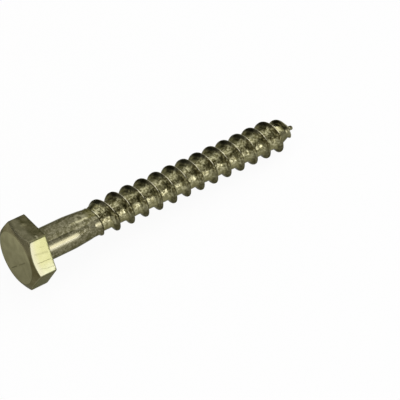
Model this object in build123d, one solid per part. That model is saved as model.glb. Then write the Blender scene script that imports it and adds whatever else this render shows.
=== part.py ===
from build123d import *
from math import atan, cos, degrees, floor, pi, radians, sin, sqrt, tan
import os

os.makedirs("parts", exist_ok=True)

# A hex-head lag screw, in millimetres.
# It is drawn along +X with its point at +X, then laid down the way it rests on a floor.
# The origin is the centre of the bearing face under the head.

# Head
across_flats = 13.0
head_height = 4.7
chamfer_angle = 30.0
top_circle_diameter = 11.5
underhead_fillet = 0.5

# Shank: straight under the head, then tapered down to the thread
shank_diameter = 6.9
shank_end_diameter = 6.1
shank_straight_length = 7.85
shank_length = 13.3
shank_step = 0.5

# Thread
pitch = 3.6
thread_diameter = 7.75
root_diameter = 5.45
crest_width = 0.45
flank_angle = 30.0
thread_start = 12.9
thread_start_angle = 73.0
run_out_turns = 0.75

# Gimlet point
length = 66.8
point_core_length = 4.7
point_crest_length = 5.5
point_fullness = 0.66
point_flat_diameter = 0.5
point_blunt_length = 0.35

# The ridge of the thread is sunk this far into the core, and drawn with this many stations a turn
ridge_sunk = 0.3
stations_per_turn = 48

shank_radius = shank_diameter / 2
shank_end_radius = shank_end_diameter / 2
thread_radius = thread_diameter / 2
root_radius = root_diameter / 2
ridge_foot_radius = root_radius - ridge_sunk
fillet_edge_radius = shank_radius + underhead_fillet
fillet_middle = underhead_fillet * (1 - sqrt(0.5))

# Head: a hexagonal prism under a conical chamfer
hexagon = Plane.YZ * RegularPolygon(across_flats / 2, 6, major_radius=False)
prism = extrude(hexagon, amount=-head_height)
cone_radius = across_flats
cone_x = (cone_radius - top_circle_diameter / 2) * tan(radians(chamfer_angle)) - head_height
chamfer_outline = Polyline(
    (-head_height, 0),
    (-head_height, top_circle_diameter / 2),
    (cone_x, cone_radius),
    (cone_x + head_height, cone_radius),
    (cone_x + head_height, 0),
    close=True,
)
chamfer_body = revolve(make_face(chamfer_outline), Axis.X)
head = prism & chamfer_body

# Shank, core of the thread and point: one turned body
# The fillet under the head is drawn as two conical steps between points of its arc
core_outline = Polyline(
    (0, fillet_edge_radius),
    (-head_height / 2, fillet_edge_radius),
    (-head_height / 2, 0),
    (length, 0),
    (length, point_flat_diameter / 2),
    (length - point_core_length, root_radius),
    (shank_length + shank_step, root_radius),
    (shank_length, shank_end_radius),
    (shank_straight_length, shank_radius),
    (underhead_fillet, shank_radius),
    (fillet_middle, shank_radius + fillet_middle),
    close=True,
)
core = revolve(make_face(core_outline), Axis.X)

# Four corners of the ridge's section, after the given number of turns
def ridge_section(turn):
    x = thread_start + pitch * turn
    angle = radians(thread_start_angle) + 2 * pi * turn
    rise = min(1.0, turn / run_out_turns)
    rise = rise * rise * (3 - 2 * rise)
    fall = min(1.0, (length - x) / point_crest_length) ** point_fullness
    crest = (root_radius + (thread_radius - root_radius) * rise) * fall
    foot = ridge_foot_radius * min(1.0, (length - x) / point_core_length)
    half_crest = crest_width / 2 * fall
    half_foot = half_crest + (crest - foot) * tan(radians(flank_angle))
    foot_head_side = Vector(x - half_foot, foot * cos(angle), foot * sin(angle))
    crest_head_side = Vector(x - half_crest, crest * cos(angle), crest * sin(angle))
    crest_tip_side = Vector(x + half_crest, crest * cos(angle), crest * sin(angle))
    foot_tip_side = Vector(x + half_foot, foot * cos(angle), foot * sin(angle))
    return [foot_head_side, crest_head_side, crest_tip_side, foot_tip_side]


# Thread ridge: ruled faces between the four corner curves, about one turn to a face
thread_turns = (length - point_blunt_length - thread_start) / pitch
stretches = floor(thread_turns) + 1
ridge_faces = []
for stretch in range(stretches):
    first = thread_turns * stretch / stretches
    last = thread_turns * (stretch + 1) / stretches
    stations = [first + (last - first) * i / stations_per_turn for i in range(stations_per_turn + 1)]
    sections = [ridge_section(turn) for turn in stations]
    curves = [Edge.make_spline([section[corner] for section in sections]) for corner in range(4)]
    for corner in range(4):
        ridge_faces.append(Face.make_surface_from_curves(curves[corner], curves[(corner + 1) % 4]))
for turn in (0, thread_turns):
    ridge_faces.append(Face(Wire.make_polygon(ridge_section(turn), close=True)))
ridge = Solid(Shell(ridge_faces))

screw = core + ridge + head

# Laid down: the head rests on the edge of its lower flat, and the thread on its last full crest below
turns_to_underside = ((270 - thread_start_angle) % 360) / 360
full_thread_turns = (length - point_crest_length - thread_start) / pitch
contact_turn = turns_to_underside + floor(full_thread_turns - turns_to_underside)
contact_x = thread_start + pitch * contact_turn + crest_width / 2
lay_angle = degrees(atan((across_flats / 2 - thread_radius) / contact_x))
laid_screw = Rot(0, lay_angle, 0) * screw

export_step(laid_screw, "parts/lag_screw.step")
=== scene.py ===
import bpy
import numpy as np
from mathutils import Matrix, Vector


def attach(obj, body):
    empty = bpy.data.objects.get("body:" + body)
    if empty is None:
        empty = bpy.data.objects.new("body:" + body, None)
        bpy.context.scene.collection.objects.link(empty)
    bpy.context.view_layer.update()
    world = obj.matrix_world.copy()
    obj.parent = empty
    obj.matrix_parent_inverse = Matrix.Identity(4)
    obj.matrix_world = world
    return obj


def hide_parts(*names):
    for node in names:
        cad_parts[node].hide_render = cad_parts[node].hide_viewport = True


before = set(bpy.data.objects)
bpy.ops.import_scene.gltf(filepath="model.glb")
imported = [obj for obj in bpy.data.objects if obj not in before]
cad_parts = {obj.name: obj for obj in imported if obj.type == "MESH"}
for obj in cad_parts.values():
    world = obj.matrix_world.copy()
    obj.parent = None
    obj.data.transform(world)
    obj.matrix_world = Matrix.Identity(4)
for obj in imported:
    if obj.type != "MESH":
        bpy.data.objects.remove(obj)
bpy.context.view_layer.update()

# ---------------------------------------------------------------------------
# Head: a hexagon of plain steel with a chamfered top, cold forged in a die.
# Its six flats take the spanner, and its flat underside bears on the timber.
# Lengths of the screw are in millimetres, along +X from the underside of the head.

across_flats = 13.0
head_height = 4.7
top_circle_radius = 5.75
top_middle_radius = 0.02
chamfer_slope = np.tan(np.radians(30.0))
corner_sharpness = 70
top_edge_reach = 0.30
chamfer_edge_reach = 0.16
bearing_edge_reach = 0.14

# Angles round the axis run from +Y towards +Z: the flats that face up, the front and down
upper_flat_angle, front_flat_angle, lower_flat_angle = 90, 150, 210

columns = 168
corner_gathering = 0.78
turn_angle = 2 * np.pi * np.arange(columns) / columns


def corner_gathered(angle):
    """Angles drawn towards the hexagon's corners: each sixth of a turn keeps its ends
    and its columns crowd near them, by a sine taken off the even spacing."""
    sixth = np.pi / 3
    part = angle / sixth
    whole = np.floor(part)
    part = part - whole
    return sixth * (whole + part - corner_gathering * np.sin(2 * np.pi * part) / (2 * np.pi))


def hexagon_reach(angle):
    """Distance from the axis to the hexagon's side: the power mean of the distances
    to its six flats, whose high power leaves small round corners."""
    normals = np.radians(np.arange(30, 390, 60))
    closeness = np.clip(np.cos(angle[:, None] - normals[None, :]), 0, None)
    return across_flats / 2 / (closeness ** corner_sharpness).sum(1) ** (1 / corner_sharpness)


gathered_angle = corner_gathered(turn_angle)
side_reach = hexagon_reach(gathered_angle)
level = np.ones(columns)

# The chamfer's cone leaves the top circle and meets the flats lower at the corners
chamfer_foot = (side_reach - top_circle_radius) * chamfer_slope - head_height

middle_of_top = np.stack([-head_height * level, top_middle_radius * level], 1)
top_edge = np.stack([-head_height * level, top_circle_radius * level], 1)
chamfer_edge = np.stack([chamfer_foot, side_reach], 1)
bearing_edge = np.stack([0 * level, side_reach], 1)

# ---------------------------------------------------------------------------
# Shank: the plain round part under the head, which narrows towards the thread and
# meets the head in a small fillet. It is drawn down from the same blank.

underhead_fillet = 0.5
shank_radius = 3.45
shank_end_radius = 3.05
shank_straight_length = 7.85
shank_length = 13.3
taper_reach = 0.7

# The rows of the thread's helix take over from the turned rows at this ring
thread_ring_x = 11.4
thread_ring_radius = np.interp(
    thread_ring_x, [shank_straight_length, shank_length], [shank_radius, shank_end_radius])

fillet_corner = np.stack([0 * level, shank_radius * level], 1)
taper_start = np.stack([shank_straight_length * level, shank_radius * level], 1)
thread_ring = np.stack([thread_ring_x * level, thread_ring_radius * level], 1)


def straight_rows(start, end, shares):
    """Rows of points on the straight line from start to end, at the given shares."""
    shares = np.asarray(shares)[:, None, None]
    return start[None] * (1 - shares) + end[None] * shares


def rounded_rows(before, corner, after, reach, steps):
    """Rows of points on a parabola that cuts a corner: it leaves and meets the two
    straight sides at the given reach from the corner."""
    way_in = (before - corner) / np.linalg.norm(before - corner, axis=1, keepdims=True)
    way_out = (after - corner) / np.linalg.norm(after - corner, axis=1, keepdims=True)
    share = np.linspace(0, 1, steps)[:, None, None]
    first = corner + way_in * reach
    last = corner + way_out * reach
    return (1 - share) ** 2 * first + 2 * share * (1 - share) * corner + share ** 2 * last


outline = [middle_of_top, top_edge, chamfer_edge, bearing_edge,
           fillet_corner, taper_start, thread_ring]
reaches = [0, top_edge_reach, chamfer_edge_reach, bearing_edge_reach,
           underhead_fillet, taper_reach, 0]
corner_steps = [1, 5, 4, 4, 7, 5, 1]
run_counts = [9, 4, 8, 8, 18, 7]

# Each row also keeps its place in the outline, a whole number at each corner: 0 in the
# middle of the top, 1 at its edge, 2 at the foot of the chamfer, 3 at the bearing edge,
# 4 in the fillet, 5 where the taper starts and 6 at the last ring
corner_span = 0.1
rows = [straight_rows(outline[0], outline[1], [0.0])]
row_places = [[0.0]]
for run, count in enumerate(run_counts):
    start, end = outline[run], outline[run + 1]
    way = (end - start) / np.linalg.norm(end - start, axis=1, keepdims=True)
    shares = (np.arange(count) + 1) / (count + 1)
    rows.append(straight_rows(start + way * reaches[run], end - way * reaches[run + 1], shares))
    row_places.append(run + corner_span + (1 - 2 * corner_span) * shares)
    if run + 2 < len(outline):
        steps = corner_steps[run + 1]
        rows.append(rounded_rows(start, end, outline[run + 2], reaches[run + 1], steps))
        row_places.append(run + 1 + np.linspace(-0.9, 0.9, steps) * corner_span)
rows.append(straight_rows(outline[-2], outline[-1], [1.0]))
row_places.append([6.0])
turned_rows = np.concatenate(rows)
row_place = np.concatenate(row_places)

# The columns spread evenly again on the way over the bearing face to the round shank
spread_from, spread_to = 3.1, 3.8
spread = np.clip((row_place - spread_from) / (spread_to - spread_from), 0, 1)[:, None]
turned_angle = (1 - spread) * gathered_angle[None] + spread * turn_angle[None]
turned_x = turned_rows[..., 0]
turned_radius = turned_rows[..., 1]

# ---------------------------------------------------------------------------
# Thread and gimlet point: a coarse right-hand wood thread, rolled into the shank. It
# starts at the shank's end and runs down a short cone, which starts it in the timber.

pitch = 3.6
crest_radius = 3.875
root_radius = 2.725
half_crest = 0.225
flank_slope = np.tan(np.radians(30.0))
thread_start = 12.9
thread_start_angle = np.radians(73.0)
run_out_turns = 0.75
length = 66.8
crest_rounding_behind = 0.42
crest_rounding_ahead = 0.12
root_rounding_behind = 0.46
root_rounding_ahead = 0.22

# End of the shank: its shoulder falls to the root behind the first ridge, and a low
# ramp fills the far side, where the ridge rises out of the shank
shoulder_gap = 0.26
shoulder_width = 0.28
shank_parallel_length = 0.8
ramp_height = 0.7

# The first ridge lies nearer the head than its helix says on the far side
first_ridge_shift = 0.45

# Point: a full-bellied cone whose ridge ends before the tip, and the small nub where
# the blank was pinched off, which is bent down a little
point_core_length = 6.0
point_belly = 1.5
point_crest_length = 5.5
point_fullness = 0.66
point_flat_radius = 0.43
point_fillet = 0.5
thread_end_turns = 14.36
thread_end_fade = 0.36
nub_radius = 0.51
nub_start = 65.5
nub_flare = 1.6
nub_rounding = 0.3
nub_nose_length = 0.35
nub_bend = 0.22
nub_bend_start = 65.3
nub_bend_length = 1.5

# Distances of the thread's rows from the middle of its ridge, both ways over one pitch
offsets = np.array([0.0, 0.10, 0.17, 0.22, 0.27, 0.33, 0.41, 0.51, 0.62, 0.73,
                    0.84, 0.95, 1.07, 1.22, 1.42, 1.61])
offsets = np.concatenate([[-pitch / 2], -offsets[:0:-1], offsets])
rows_per_turn = len(offsets)


def soft_lesser(first, second, reach):
    """The lesser of two surfaces, with the edge between them rounded over the reach."""
    blend = np.clip(reach - np.abs(first - second), 0, None) / reach
    return np.minimum(first, second) - blend ** 2 * reach / 4


def soft_greater(first, second, reach):
    """The greater of two surfaces, with a fillet between them over the reach."""
    return -soft_lesser(-first, -second, reach)


def shoulder_x(turns):
    """Where the shank ends: its shoulder follows the tip side of the first ridge for
    half a turn and comes back round the far side."""
    share = turns - np.floor(turns)
    advance = np.interp(share, [0, 0.44, 0.60, 0.95, 1], [0, 0.44, 0.42, 0.0, 0])
    return thread_start + shoulder_gap + pitch * advance


def core_radius(x, turns):
    """The screw without its thread: the tapered shank with its parallel end, a smooth
    step at the shoulder, the ramp, the even core, and the point, whose radius falls by
    a power of the way to the tip, and which ends in the nub with its elliptic nose."""
    shank = np.interp(x, [thread_ring_x, shank_length - shank_parallel_length],
                      [thread_ring_radius, shank_end_radius])
    down = np.clip((x - shoulder_x(turns)) / shoulder_width, 0, 1)
    down = down * down * (3 - 2 * down)
    share = turns - np.floor(turns)
    ramp = np.interp(share, [0, 0.05, 0.65, 0.85, 1], [ramp_height, 0, 0, 1, ramp_height])
    ramp = ramp * np.interp(x - thread_start, [0, 0.5, 2.3, 2.9], [0, 0.05, 0.8, 0])
    before_point = np.clip((length - x) / point_core_length, 0, 1)
    belly = 1 - (1 - before_point) ** point_belly
    core = point_flat_radius + (root_radius - point_flat_radius) * belly
    flare = nub_radius + nub_flare * np.clip(nub_start - x, 0, None)
    core = soft_lesser(core, flare, nub_rounding)
    nose = np.sqrt(np.clip((length - x) / nub_nose_length, 0, 1))
    return (shank + (core - shank) * down + ramp) * nose


def screw_radius(x, turns, offset):
    """Distance of the surface from the axis: the core and the ridge of the thread, whose
    crest rises over the run-out and falls again along the point. The ridge is the lesser
    of its crest and its two flanks, and meets the core in a fillet on each side."""
    rise = np.clip(turns / run_out_turns, 0, 1)
    rise = rise * rise * (3 - 2 * rise)
    fall = np.clip((length - (x - offset)) / point_crest_length, 0, 1) ** point_fullness
    crest = (root_radius + (crest_radius - root_radius) * rise) * fall
    crest = crest * (1 - np.clip((turns - thread_end_turns) / thread_end_fade, 0, 1) ** 2)
    slope = crest - (np.abs(offset) - half_crest * fall) / flank_slope
    rounding = np.interp(offset, [-0.1, 0.1], [crest_rounding_behind, crest_rounding_ahead])
    ridge = soft_lesser(crest, slope, rounding * np.clip(fall, 0.3, 1))
    fillet = np.interp(offset, [-0.2, 0.2], [root_rounding_behind, root_rounding_ahead])
    near_point = np.interp(length - x, [2.3, 3.0, 4.3, 6.3], [0, 1, 1, 0])
    fillet = fillet + point_fillet * near_point * np.interp(offset, [-0.4, -0.1], [1, 0])
    room = np.clip(length - x, 0.05, 1) * np.clip(rise, 0.2, 1)
    body = soft_greater(core_radius(x, turns), ridge, fillet * room)
    return np.where(x < length, np.minimum(body, crest_radius), 0)


# Whole turns of rows, from before the last ring of the shank to beyond the tip
first_turn, last_turn = -1, 16
whole_turns = np.repeat(np.arange(first_turn, last_turn + 1), rows_per_turn)
row_offset = np.tile(offsets, last_turn + 1 - first_turn)[:, None]
turns = whole_turns[:, None] + (turn_angle[None] - thread_start_angle) / (2 * np.pi)
shifted = first_ridge_shift * np.interp(turns, [0.45, 0.75, 1.0, 1.22], [0, 1, 1, 0])
thread_x = thread_start + pitch * turns + row_offset - shifted
thread_radius = screw_radius(thread_x, turns, row_offset)
thread_angle = np.broadcast_to(turn_angle[None], thread_x.shape)

# ---------------------------------------------------------------------------
# Whole screw: head, shank, thread and point are one piece of steel, plated with zinc
# and passivated to an olive tone. The thread's rows start on the last ring of the
# shank and end in the point, so that one closed skin goes round the whole screw.

ring_start = (len(turned_rows) - 1) * columns
point_index = len(turned_rows) * columns
ids = point_index + 1 + np.arange(thread_x.size).reshape(thread_x.shape)
ids = np.where(thread_x <= thread_ring_x, ring_start + np.arange(columns)[None], ids)
ids = np.where(thread_x >= length, point_index, ids)

# The last column of each turn is followed by the first column of the next one
ids = np.concatenate([ids[:-rows_per_turn], ids[rows_per_turn:, :1]], axis=1)
turned_ids = np.arange(point_index).reshape(len(turned_rows), columns)
turned_ids[0] = 0
turned_ids = np.concatenate([turned_ids, turned_ids[:, :1]], axis=1)


def triangles_of(grid):
    """Two triangles for each cell of a grid of point numbers."""
    a, b = grid[:-1, :-1], grid[:-1, 1:]
    c, d = grid[1:, 1:], grid[1:, :-1]
    return np.stack([np.stack([a, b, c], -1), np.stack([a, c, d], -1)]).reshape(-1, 3)


# Cells that have shrunk to a line are dropped, and so are the points that none uses
triangles = np.concatenate([triangles_of(turned_ids), triangles_of(ids)])
sorted_ids = np.sort(triangles, axis=1)
has_area = (sorted_ids[:, 0] != sorted_ids[:, 1]) & (sorted_ids[:, 1] != sorted_ids[:, 2])
triangles = triangles[has_area]
used, triangles = np.unique(triangles, return_inverse=True)
triangles = triangles.reshape(-1, 3)

x = np.concatenate([turned_x.ravel(), [length], thread_x.ravel()])[used]
radius = np.concatenate([turned_radius.ravel(), [0.0], thread_radius.ravel()])[used]
radius[0] = 0  # the middle of the top, where its columns meet
angle = np.concatenate([turned_angle.ravel(), [0.0], thread_angle.ravel()])[used]
place = np.concatenate([np.repeat(row_place, columns), [6.0], np.full(thread_x.size, 6.0)])[used]
turns_at = np.concatenate([np.zeros(turned_x.size + 1), turns.ravel()])[used]
from_crest = np.concatenate([
    np.full(turned_x.size, -pitch / 2), [0.0],
    np.broadcast_to(row_offset, thread_x.shape).ravel()])[used]


def fading(value, start, end):
    """A share that rises smoothly from 0 at the start to 1 at the end."""
    share = np.clip((value - start) / (end - start), 0, 1)
    return share * share * (3 - 2 * share)


def band(value, start, full_from, full_to, end):
    """A share that is 1 over a range of the value and fades to 0 on both sides of it."""
    return fading(value, start, full_from) * (1 - fading(value, full_to, end))


def facing(degrees, full, none):
    """A share that is 1 where the surface faces within the full angle of the given one
    round the axis, and fades to 0 at the none angle from it, by their cosines."""
    closeness = np.cos(angle - np.radians(degrees))
    return fading(closeness, np.cos(np.radians(none)), np.cos(np.radians(full)))


# Where each point lies on the screw. A flat reaches a little over 30 degrees to both
# sides, so that it keeps its corners.
half_flat_angle = 30.06
on_top = 1 - fading(place, 0.93, 1.05)
on_chamfer = band(place, 0.95, 1.05, 1.95, 2.05)
on_flats = band(place, 1.95, 2.05, 2.95, 3.05)
of_upper, of_front, of_lower = (
    np.cos(angle - np.radians(degrees)) > np.cos(np.radians(half_flat_angle))
    for degrees in (upper_flat_angle, front_flat_angle, lower_flat_angle))
beyond_ring = x > thread_ring_x
past_shoulder = x - shoulder_x(turns_at)
in_thread = fading(past_shoulder, 0.05, 0.25) * beyond_ring
on_point = fading(x, length - 6.2, length - 4.4)
even_thread = in_thread * (1 - on_point)
at_first_turn = beyond_ring * (turns_at < 0.5)
height = (radius - root_radius) / (crest_radius - root_radius)

# Zones of the finish: what the dies and rolls pressed is smooth, what only follows
# the wire's own skin between the threads stays rough. Some zones carry painted light
# and shade instead: highlights, reflections and shade painted into the film. Their ranges
# are of x and past_shoulder in millimetres, of the place in the outline, of the height from
# the root at 0 to the crest at 1, and of the angle that they face, in degrees.
# strength of the painted strips of reflection and highlight on the thread
painted_strip_strength = 0.55
zones = {
    "head_end": 1 - fading(place, 1.93, 2.0),
    "head_top": on_top,
    # painted light: the top of the head is lighter towards its upper side
    "top_painted_light_above": on_top * fading(radius * np.sin(angle), 1.0, 4.5),
    "chamfer": on_chamfer,
    # painted light and shade: the chamfer is lighter where it faces up and down than on its darker front side
    "chamfer_painted_light_above": on_chamfer * facing(90, 18.2, 63.3),
    "chamfer_painted_light_low": on_chamfer * facing(270, 66.4, 95.7),
    "chamfer_rim": band(place, 1.90, 1.94, 2.06, 2.10) * (1 - of_front),
    "upper_flat": on_flats * of_upper,
    "soft_band": on_flats * of_upper * band(place, 2.02, 2.2, 2.35, 2.55),
    # a pale spot on the corner where the upper flat meets the front flat
    "pale_corner_spot": on_flats * of_upper * facing(120, 3.6, 9.6) * band(x, -2.1, -1.7, -1.7, -1.3),
    "pale_streak": on_flats * of_upper * facing(80.5, 2.1, 4.3) * band(x, -3.8, -3.0, -1.8, -1.3),
    "front_flat": on_flats * of_front,
    # painted light: the front flat is lighter towards its lower side and darker in its upper corner
    "front_flat_painted_light_low": on_flats * of_front * fading(radius * np.cos(angle - np.radians(240)), 0.8, 3.2),
    "pale_edge": on_flats * of_front * (1 - fading(place, 2.12, 2.40)),
    "lower_flat": on_flats * of_lower,
    "bearing_rim": on_flats * (of_upper | of_front) * fading(place, 2.80, 2.90),
    "shank": fading(place, 3.95, 4.05) * (1 - in_thread),
    # painted highlight: an even, lighter film along the shank's highlight band and again before its shoulder,
    # with a paler strip along its lower edge
    "painted_highlight_band": facing(155, 9.9, 17.3)
    * (band(x, 0.5, 0.9, 7.9, 8.4) + band(past_shoulder, -1.25, -0.95, -0.15, 0.0) * beyond_ring),
    "painted_highlight_band_low": facing(159.5, 2.6, 4.8) * band(x, 0.5, 0.9, 7.9, 8.4),
    # painted reflection: a pale patch on the upper side of the shank's taper
    "taper_painted_reflection": facing(98, 8.1, 23.1) * band(x, 8.4, 9.4, 11.0, 12.0),
    "shank_end": (1 - in_thread) * beyond_ring * facing(90, 14.1, 31.8)
    * fading(past_shoulder, -2.8, -0.8),
    # painted shadow: a dark line along the shank's shoulder on the first turn
    "shoulder_painted_shadow_line": at_first_turn * facing(128, 30.7, 45.6) * band(past_shoulder, -0.20, -0.06, 0.10, 0.22),
    # painted highlight: a pale line along the edge of the first ridge
    "first_ridge_painted_highlight": at_first_turn * facing(107, 16.3, 25.8) * band(past_shoulder, 0.28, 0.36, 0.46, 0.56),
    # painted shade: darker film on the lower side of the shoulder
    "shoulder_painted_shade_low": beyond_ring * facing(205, 29.5, 45.6) * band(past_shoulder, -0.6, -0.1, 0.15, 0.30),
    "root": even_thread * (1 - fading(height, 0.30, 0.75)),
    # painted glints and shade: pale specks and dark blotches on the side of the roots that faces the lamps
    "root_painted_glints": even_thread * facing(122, 28.4, 47.2) * (1 - fading(height, 0.30, 0.75)),
    # painted light: a lighter film on the lower side of the roots
    "root_painted_light_low": in_thread * facing(200, 18.2, 36.9) * (1 - fading(height, 0.10, 0.35)),
    # painted reflections: strips along the whole thread by the way they face, one dark and two light
    "painted_dark_reflection_strip": painted_strip_strength * even_thread * facing(129, 4.4, 14.1),
    "painted_highlight_strip": painted_strip_strength * even_thread * facing(104, 8.1, 17.3)
    * (1 - fading(height, 0.50, 0.85)),
    "painted_low_highlight_strip": painted_strip_strength * even_thread * facing(164, 9.9, 21.6)
    * (1 - fading(height, 0.50, 0.85)),
    "flank": in_thread * fading(height, 0.45, 0.85),
    # painted shade: darker film on the flanks that face down
    "flank_painted_shade_low": in_thread * facing(208, 18.2, 36.9) * fading(height, 0.05, 0.60),
    # painted shade: darker film in the crease at the foot of the flank behind the crest
    "flank_foot_painted_shade": in_thread * facing(128, 14.1, 22.0) * band(height, 0.03, 0.15, 0.35, 0.60)
    * (from_crest < 0),
    "first_ridge": in_thread * facing(165, 36.9, 53.1) * fading(height, 0.15, 0.40)
    * (turns_at > 0.7) * (turns_at < 1.6),
    # painted glints and shade: a contrasty mottle on the side of the ridges that faces the lamps
    "ridge_painted_glints": even_thread * facing(126, 25.8, 42.3) * fading(height, 0.20, 0.65),
    "crest": in_thread * fading(height, 0.80, 0.95) * (1 - fading(from_crest, 0.06, 0.14)),
    # painted shade: darker film on the crests and flanks that face up and back
    "crest_painted_shade_far": in_thread * facing(68, 25.8, 43.9) * fading(height, 0.35, 0.75)
    * (1 - fading(from_crest, 0.08, 0.16)),
    # painted highlight: a pale line along the crest's edge towards the tip
    "crest_painted_highlight_edge": in_thread * facing(99, 24.5, 42.3) * fading(height, 0.75, 0.90)
    * fading(from_crest, 0.09, 0.17),
    "point": on_point,
    # painted highlight: a pale patch on the upper side of the point
    "point_painted_highlight": on_point * facing(100, 14.1, 25.8) * fading(from_crest, 0.6, 1.0),
    # painted shade: darker film on the flank of the point's last ridge
    "point_flank_painted_shade": fading(x, length - 5.0, length - 4.6) * facing(90, 31.8, 47.2)
    * band(from_crest, -1.70, -1.30, -0.15, 0.0),
    "nub": fading(x, nub_start - 0.1, nub_start + 0.2),
}


def random_waves(place, size, seed, count=48):
    """A random field of mean 0 and spread 1: the sum of plane waves in random
    directions, with wavelengths about the given size in millimetres."""
    draw = np.random.default_rng(seed)
    way = draw.normal(size=(count, 3))
    way = way / np.linalg.norm(way, axis=1, keepdims=True)
    wave = way * (2 * np.pi / (size * draw.uniform(0.7, 1.5, (count, 1))))
    start = draw.uniform(0, 2 * np.pi, count)
    return np.cos(place @ wave.T + start).sum(1) * np.sqrt(2 / count)


# Dents that the rolls leave: the zone's share, their depth, their width and a seed
drawn = np.stack([x, radius * np.cos(angle), radius * np.sin(angle)], 1)
in_root = zones["root"] * fading(turns_at, 0.4, 1.0)
dents = 0
for share, depth, width, seed in (
        (in_root, 0.016, 1.1, 1), (in_root, 0.006, 0.55, 2),
        (zones["shank"] * fading(x, 8.2, 9.5), 0.002, 1.2, 3),
        (zones["flank"] * (1 - zones["crest"]), 0.005, 1.4, 5)):
    dents = dents + share * depth * random_waves(drawn, width, seed)
crest_wear_depth, crest_wear_width, crest_wear_seed = 0.010, 1.6, 6
crest_wear = np.abs(random_waves(drawn, crest_wear_width, crest_wear_seed))
dents = dents - zones["crest"] * crest_wear_depth * crest_wear

# Neither the fine nose nor the crest's full height takes a dent outwards
smooth_nose_radius = 0.5
crest_allowance = 0.007
radius = np.where(radius > smooth_nose_radius, radius + dents, radius)
radius = np.where(beyond_ring, np.minimum(radius, crest_radius - crest_allowance), radius)
drawn = np.stack([x, radius * np.cos(angle), radius * np.sin(angle)], 1)
drawn[:, 2] -= nub_bend * np.clip((x - nub_bend_start) / nub_bend_length, 0, 1) ** 1.5

# The screw lies on the edge of its lower flat and on its last full crest below
lay_angle = np.radians(2.578)
points = np.stack([
    drawn[:, 0] * np.cos(lay_angle) + drawn[:, 2] * np.sin(lay_angle),
    drawn[:, 1],
    drawn[:, 2] * np.cos(lay_angle) - drawn[:, 0] * np.sin(lay_angle)], 1) / 1000

# Faces point outwards: the volume under them is positive
first, second, third = (points[triangles[:, i]] for i in range(3))
if (first * np.cross(second, third)).sum() < 0:
    triangles = triangles[:, ::-1]

screw_mesh = bpy.data.meshes.new("screw")
screw_mesh.vertices.add(len(points))
screw_mesh.vertices.foreach_set("co", points.astype(np.float32).ravel())
screw_mesh.loops.add(triangles.size)
screw_mesh.loops.foreach_set("vertex_index", triangles.astype(np.int32).ravel())
screw_mesh.polygons.add(len(triangles))
screw_mesh.polygons.foreach_set("loop_start", np.arange(0, triangles.size, 3, dtype=np.int32))
screw_mesh.update(calc_edges=True)
screw_mesh.validate()
screw_mesh.shade_smooth()

for name, values in zones.items():
    zone_mark = screw_mesh.attributes.new(name, "FLOAT", "POINT")
    zone_mark.data.foreach_set("value", values.astype(np.float32))
place_mark = screw_mesh.attributes.new("place_on_screw", "FLOAT_VECTOR", "POINT")
place_mark.data.foreach_set("vector", drawn.astype(np.float32).ravel())

screw = bpy.data.objects.new("screw", screw_mesh)
bpy.context.scene.collection.objects.link(screw)


def linear(hex_colour):
    """A written sRGB colour, such as 7C7960, as the linear colour that a shader takes."""
    part = np.array([int(hex_colour[i:i + 2], 16) / 255 for i in (0, 2, 4)])
    part = np.where(part <= 0.04045, part / 12.92, ((part + 0.055) / 1.055) ** 2.4)
    return (*part.tolist(), 1.0)


def add_node(tree, kind, inputs, **settings):
    """Adds a node with its settings, and sets or links its inputs."""
    made = tree.nodes.new("ShaderNode" + kind)
    for name, value in settings.items():
        setattr(made, name, value)
    for name, value in inputs.items():
        if isinstance(value, bpy.types.NodeSocket):
            tree.links.new(value, made.inputs[name])
        else:
            made.inputs[name].default_value = value
    return made


# Zinc plate with an olive passivation: a metal whose thin coloured film is uneven,
# so that it mirrors its surroundings darkly and looks mottled where the steel is rough.
# Some zones also have painted highlights, reflections and shade in the film's colour
steel = bpy.data.materials.new("olive_passivated_zinc")
steel.use_nodes = True
tree = steel.node_tree
surface = tree.nodes["Principled BSDF"]
surface.inputs["Metallic"].default_value = 1.0

zone = {name: add_node(tree, "Attribute", {}, attribute_name=name).outputs["Fac"] for name in zones}
on_screw = add_node(tree, "Attribute", {}, attribute_name="place_on_screw").outputs["Vector"]

# Patterns of the film by the size of their patches in millimetres
patch_sizes = {"wide": 2.2, "patchy": 1.0, "mottled": 0.50, "speckled": 0.26}
pattern = {}
for name, size in patch_sizes.items():
    pattern[name] = add_node(tree, "TexNoise", {
        "Vector": on_screw, "Scale": 1 / size, "Detail": 3.0, "Roughness": 0.55}).outputs["Fac"]

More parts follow.
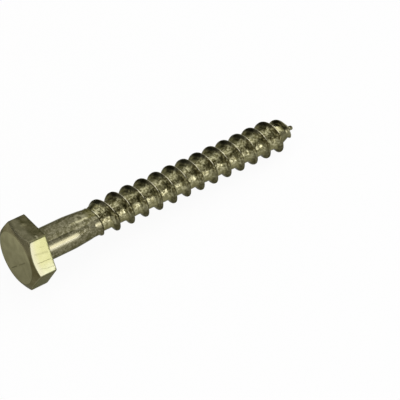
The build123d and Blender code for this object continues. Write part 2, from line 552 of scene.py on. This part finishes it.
# Film colour of each zone: its pattern, where that turns from the darker tone to the
# lighter one, and the two tones. Without a darker tone, the one below shows through.
film = [
    ("head_top", "wide", 0.38, 0.62, "858163", "8F8B6C"),
    # painted light on the upper side of the top
    ("top_painted_light_above", "wide", 0.38, 0.62, "8D896A", "999573"),
    ("chamfer", "patchy", 0.35, 0.65, "534D32", "5B5539"),
    # painted light on the lower and upper sides of the chamfer
    ("chamfer_painted_light_low", "patchy", 0.35, 0.65, "69644A", "716C51"),
    ("chamfer_painted_light_above", "patchy", 0.35, 0.65, "807A5C", "888264"),
    # painted shade: the upper flat gets a darker film than the front and lower flats
    ("upper_flat", "patchy", 0.36, 0.64, "45432B", "5F5B42"),
    ("lower_flat", "patchy", 0.36, 0.64, "66623F", "716D4C"),
    ("pale_corner_spot", "mottled", 0.44, 0.56, "", "A9A586"),
    ("pale_streak", "mottled", 0.36, 0.56, "666247", "7E7A5C"),
    ("soft_band", "patchy", 0.36, 0.64, "66634B", "747058"),
    ("chamfer_rim", "patchy", 0.35, 0.65, "7A765E", "86826A"),
    ("front_flat", "wide", 0.40, 0.60, "71704D", "757452"),
    # painted light on the lower side of the front flat
    ("front_flat_painted_light_low", "wide", 0.40, 0.60, "757559", "7B7B61"),
    ("pale_edge", "patchy", 0.35, 0.65, "75735C", "787660"),
    ("bearing_rim", "speckled", 0.52, 0.62, "", "3E401C"),
    ("shank", "patchy", 0.40, 0.60, "5A573E", "736F56"),
    ("shank", "mottled", 0.48, 0.66, "", "86826A"),
    # painted reflection on the taper
    ("taper_painted_reflection", "patchy", 0.34, 0.60, "", "9E9A7C"),
    # painted highlight along the shank
    ("painted_highlight_band", "wide", 0.40, 0.60, "7D795E", "817D62"),
    ("painted_highlight_band_low", "wide", 0.40, 0.60, "9A967C", "9E9A80"),
    ("shank_end", "patchy", 0.42, 0.58, "56522F", "7C7856"),
    ("root", "patchy", 0.40, 0.58, "5A5638", "7A7654"),
    # painted glints and shade on the roots
    ("root_painted_glints", "patchy", 0.42, 0.56, "3A351C", "747050"),
    ("root_painted_glints", "mottled", 0.48, 0.62, "", "9A9674"),
    ("root_painted_glints", "speckled", 0.56, 0.66, "", "AEAA86"),
    # painted light on the lower roots
    ("root_painted_light_low", "patchy", 0.38, 0.62, "7A7654", "908C69"),
    ("point", "patchy", 0.38, 0.62, "66634A", "787559"),
    # painted highlight on the point
    ("point_painted_highlight", "patchy", 0.38, 0.62, "A09C80", "B0AC90"),
    ("flank", "patchy", 0.38, 0.62, "545139", "757259"),
    # painted shade on the lower flanks
    ("flank_painted_shade_low", "mottled", 0.40, 0.62, "45422C", "64614A"),
    ("first_ridge", "patchy", 0.38, 0.62, "48452F", "5A5740"),
    # painted glints and shade on the ridges
    ("ridge_painted_glints", "mottled", 0.44, 0.60, "3E3921", "7C7858"),
    # painted shade at the foot of the flank
    ("flank_foot_painted_shade", "patchy", 0.38, 0.62, "3A3722", "56533C"),
    # painted reflection and highlight strips along the thread
    ("painted_dark_reflection_strip", "mottled", 0.46, 0.62, "2E2A14", "5A5636"),
    ("painted_highlight_strip", "mottled", 0.44, 0.60, "6A6644", "BAB692"),
    ("painted_low_highlight_strip", "mottled", 0.44, 0.60, "7A7654", "BEBA96"),
    # painted shade on the far crests
    ("crest_painted_shade_far", "patchy", 0.38, 0.62, "302D1E", "4A4836"),
    ("nub", "patchy", 0.38, 0.62, "7E7B62", "8E8B72"),
    # painted shade on the point's last flank
    ("point_flank_painted_shade", "patchy", 0.38, 0.62, "2E2C1A", "434029"),
    # painted shadow line at the shoulder
    ("shoulder_painted_shadow_line", "mottled", 0.40, 0.60, "2A2716", "3C3922"),
    # painted shade under the shoulder
    ("shoulder_painted_shade_low", "mottled", 0.40, 0.60, "3E3B27", "504D38"),
    # painted highlight on the first ridge
    ("first_ridge_painted_highlight", "mottled", 0.40, 0.60, "A6A284", "C6C2A4"),
    # painted highlight on the crest's edge
    ("crest_painted_highlight_edge", "patchy", 0.35, 0.65, "C8C2A8", "DCD6BC"),
]

# The underside of the head is in none of these zones and keeps the plain film
plain_film = "6A6850"
colour = linear(plain_film)
for zone_name, pattern_name, low, high, darker, lighter in film:
    turn = add_node(tree, "MapRange", {"Value": pattern[pattern_name], "From Min": low, "From Max": high},
                    interpolation_type="SMOOTHSTEP").outputs["Result"]
    base = linear(darker) if darker else colour
    tone = add_node(tree, "Mix", {0: turn, 6: base, 7: linear(lighter)}, data_type="RGBA").outputs[2]
    colour = add_node(tree, "Mix", {0: zone[zone_name], 6: colour, 7: tone}, data_type="RGBA").outputs[2]

# Marks of the tools on the front flat, drawn along X and up the flat, and a scratch over
# the top, drawn across it: the zone, the two ends, half the width and how dark it is
up_the_front_flat = (0, 0.5, 0.866)
mark_waver = 0.16
mark_core = 0.2
mark_end_fade = 0.25
mark_colour = "2E2A14"
along = add_node(tree, "SeparateXYZ", {"Vector": on_screw})
up_front = add_node(tree, "VectorMath", {0: on_screw, 1: up_the_front_flat},
                    operation="DOT_PRODUCT").outputs["Value"]
waver = add_node(tree, "MapRange", {"Value": pattern["mottled"],
                                    "To Min": -mark_waver, "To Max": mark_waver}).outputs["Result"]
marks = [
    ("front_flat", (-2.1, 1.98), (-0.9, 1.69), 0.09, 0.30),
    ("front_flat", (-3.7, 0.98), (-0.5, 0.42), 0.30, 0.22),
    ("front_flat", (-3.7, -0.92), (-0.4, -1.10), 0.11, 0.60),
    ("front_flat", (-2.35, -1.74), (-1.95, -1.76), 0.10, 0.60),
    ("front_flat", (-3.5, -2.13), (-1.8, -2.55), 0.08, 0.40),
    ("front_flat", (-1.9, -2.53), (0.0, -2.71), 0.09, 0.50),
    ("head_end", (1.9, -4.10), (-0.4, -1.79), 0.26, 0.55),
    ("head_end", (-1.0, -1.18), (-3.6, 1.43), 0.24, 0.45),
]
for zone_name, start, end, half_width, darkness in marks:
    across, lengthwise = (up_front, along.outputs["X"])
    if zone_name == "head_end":
        across, lengthwise = (along.outputs["Z"], along.outputs["Y"])
    slope = (end[1] - start[1]) / (end[0] - start[0])
    line = add_node(tree, "Math", {0: lengthwise, 1: slope, 2: start[1] - slope * start[0]},
                    operation="MULTIPLY_ADD").outputs[0]
    line = add_node(tree, "Math", {0: line, 1: waver}, operation="ADD").outputs[0]
    gap = add_node(tree, "Math", {0: across, 1: line}, operation="SUBTRACT").outputs[0]
    gap = add_node(tree, "Math", {0: gap}, operation="ABSOLUTE").outputs[0]
    width_share = add_node(tree, "MapRange", {
        "Value": gap, "From Min": mark_core * half_width, "From Max": half_width,
        "To Min": darkness, "To Max": 0.0}, interpolation_type="SMOOTHSTEP").outputs["Result"]
    middle, half_length = (start[0] + end[0]) / 2, abs(end[0] - start[0]) / 2
    away = add_node(tree, "Math", {0: lengthwise, 1: middle}, operation="SUBTRACT").outputs[0]
    away = add_node(tree, "Math", {0: away}, operation="ABSOLUTE").outputs[0]
    length_share = add_node(tree, "MapRange", {
        "Value": away, "From Min": half_length - mark_end_fade, "From Max": half_length,
        "To Min": 1.0, "To Max": 0.0}, interpolation_type="SMOOTHSTEP").outputs["Result"]
    share = add_node(tree, "Math", {0: width_share, 1: length_share}, operation="MULTIPLY").outputs[0]
    share = add_node(tree, "Math", {0: share, 1: zone[zone_name]}, operation="MULTIPLY").outputs[0]
    colour = add_node(tree, "Mix", {0: share, 6: colour, 7: linear(mark_colour)}, data_type="RGBA").outputs[2]
tree.links.new(colour, surface.inputs["Base Color"])

# How much of its surroundings the film mirrors at a low angle, least on the dull flat
film_grazing = (0.50, 0.50, 0.46, 1.0)
lower_flat_grazing = (0.40, 0.40, 0.32, 1.0)
grazing = add_node(tree, "Mix", {0: zone["lower_flat"], 6: film_grazing, 7: lower_flat_grazing},
                   data_type="RGBA").outputs[2]
tree.links.new(grazing, surface.inputs["Specular Tint"])

# Roughness of each zone, from the polish of the dies to the dull crest
zone_roughness = {
    "head_top": 0.30, "chamfer": 0.30, "upper_flat": 0.22, "chamfer_rim": 0.55,
    "shank": 0.14, "painted_highlight_band": 0.25, "root": 0.28, "flank": 0.26, "crest": 0.50,
    "point": 0.20, "crest_painted_highlight_edge": 0.28}
plain_roughness = 0.16
rough = plain_roughness
for zone_name, value in zone_roughness.items():
    rough = add_node(tree, "Mix", {0: zone[zone_name], 2: rough, 3: value}).outputs[0]
tree.links.new(rough, surface.inputs["Roughness"])

# Fine pits of the rough skin between the threads, about 0.03 mm deep
pitting = 0.6
pit_distance = 0.00006
pitted = add_node(tree, "Math", {0: zone["root"], 1: pitting}, operation="MULTIPLY").outputs[0]
pits = add_node(tree, "Math", {0: pattern["mottled"], 1: pattern["speckled"]}, operation="ADD").outputs[0]
pits = add_node(tree, "Math", {0: pits, 1: pitted}, operation="MULTIPLY").outputs[0]
bump = add_node(tree, "Bump", {"Strength": 1.0, "Distance": pit_distance, "Height": pits})
tree.links.new(bump.outputs["Normal"], surface.inputs["Normal"])
screw_mesh.materials.append(steel)

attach(screw, "root")
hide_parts("lag_screw")

# ---------------------------------------------------------------------------
# Floor: a sheet of glossy white acrylic under the screw, cast in one piece. It looks
# almost pure white to the camera and paler than it is lit in the plating's mirror.

floor_radius = 4.0
camera_paleness = 0.94
mirrored_paleness = 0.55
lowest = points[:, 2].min()
bpy.ops.mesh.primitive_circle_add(
    vertices=96, radius=floor_radius, fill_type="NGON", location=(0, 0, lowest))
floor = bpy.context.object
floor.name = "floor"
acrylic = bpy.data.materials.new("white_acrylic")
acrylic.use_nodes = True
floor_tree = acrylic.node_tree
floor_surface = floor_tree.nodes["Principled BSDF"]
floor_surface.inputs["Base Color"].default_value = linear("EBEBE9")
floor_surface.inputs["Roughness"].default_value = 0.2
seen = add_node(floor_tree, "LightPath", {})
mirrored = add_node(floor_tree, "Math", {
    0: seen.outputs["Is Glossy Ray"], 1: seen.outputs["Is Transmission Ray"]}, operation="ADD").outputs[0]
mirrored = add_node(floor_tree, "Math", {0: mirrored, 1: mirrored_paleness}, operation="MULTIPLY").outputs[0]
paleness = add_node(floor_tree, "Math", {0: seen.outputs["Is Camera Ray"], 1: camera_paleness, 2: mirrored},
                    operation="MULTIPLY_ADD", use_clamp=True).outputs[0]
white = add_node(floor_tree, "Emission", {"Color": linear("FFFFFF"), "Strength": 1.0})
blend = add_node(floor_tree, "MixShader", {0: paleness, 1: floor_surface.outputs[0], 2: white.outputs[0]})
floor_tree.links.new(blend.outputs[0], floor_tree.nodes["Material Output"].inputs["Surface"])
floor.data.materials.append(acrylic)

# ---------------------------------------------------------------------------
# Light: plain softboxes round the screw in a dim studio, and the pale floor as
# reflector. Each is a flat rectangle of even light that faces the screw.

world = bpy.data.worlds.new("studio")
bpy.context.scene.world = world
world.use_nodes = True
world.node_tree.nodes["Background"].inputs["Color"].default_value = (1, 1, 1, 1)
world.node_tree.nodes["Background"].inputs["Strength"].default_value = 0.10
screw_middle = Vector((0.03, 0, 0))


def softbox(name, azimuth, elevation, distance, width, height, brightness, tint=(1, 1, 1)):
    """A rectangle of light at the given azimuth from +X and elevation in degrees; its
    power in watts is its brightness times pi times its area, so that brightness 1
    mirrors as white."""
    light = bpy.data.lights.new(name, "AREA")
    light.shape = "RECTANGLE"
    light.size = width
    light.size_y = height
    light.energy = brightness * np.pi * width * height
    light.color = tint
    box = bpy.data.objects.new(name, light)
    box.visible_camera = False
    bpy.context.scene.collection.objects.link(box)
    a, e = np.radians(azimuth), np.radians(elevation)
    way = Vector((np.cos(a) * np.cos(e), np.sin(a) * np.cos(e), np.sin(e)))
    box.location = screw_middle + way * distance
    box.rotation_euler = way.to_track_quat("Z", "Y").to_euler()


softbox("low_right_softbox", -80, 7.5, 0.60, 0.44, 0.222, 5.0, (0.99, 0.98, 1.06))
softbox("overhead_softbox", 85, 78, 1.0, 0.75, 0.75, 1.2)
softbox("high_right_softbox", -22, 52, 1.2, 0.95, 0.62, 1.15)
softbox("mid_right_softbox", -38, 29, 1.2, 1.55, 0.42, 0.45)
softbox("high_back_softbox", 38, 50, 1.2, 1.1, 0.85, 0.8)
softbox("end_softbox", 5, 17, 1.0, 0.70, 0.48, 3.2)
softbox("point_softbox", 17, 33, 1.0, 0.26, 0.16, 4.0)
softbox("low_back_softbox", 60, 17, 1.0, 0.6, 0.50, 0.6)
softbox("right_softbox", -29, 12, 1.0, 1.05, 0.36, 0.7)
softbox("front_softbox", -78, 38, 1.2, 1.5, 0.84, 0.36)
softbox("camera_side_softbox", -142, 25, 1.2, 1.3, 0.48, 0.55)
softbox("low_camera_side_softbox", -130, 5, 1.2, 1.6, 0.38, 1.5)
softbox("high_camera_side_softbox", -160, 50, 1.2, 0.95, 0.55, 1.3)
softbox("left_softbox", 178, 32, 1.2, 1.1, 0.85, 0.9)

# ---------------------------------------------------------------------------
# Camera: from the left front and above, with a long lens. Its place is given in metres
# along its own right, up and back directions.

camera_azimuth = np.radians(-37.96)
camera_elevation = np.radians(42.72)
camera_place_right, camera_place_up, camera_distance = 0.03241, 0.00958, 0.300
camera_right = np.array([np.cos(camera_azimuth), np.sin(camera_azimuth), 0])
camera_back = np.array([np.sin(camera_azimuth) * np.cos(camera_elevation),
                        -np.cos(camera_azimuth) * np.cos(camera_elevation), np.sin(camera_elevation)])
camera_up = np.cross(camera_back, camera_right)
camera_data = bpy.data.cameras.new("camera")
camera_data.lens = 136.8
camera_data.sensor_width = 36.0
camera_data.clip_start = 0.01
camera = bpy.data.objects.new("camera", camera_data)
bpy.context.scene.collection.objects.link(camera)
camera.location = (camera_right * camera_place_right + camera_up * camera_place_up
                   + camera_back * camera_distance)
camera.rotation_euler = Vector(camera_back).to_track_quat("Z", "Y").to_euler()
bpy.context.scene.camera = camera

bpy.context.scene.view_settings.view_transform = "Standard"
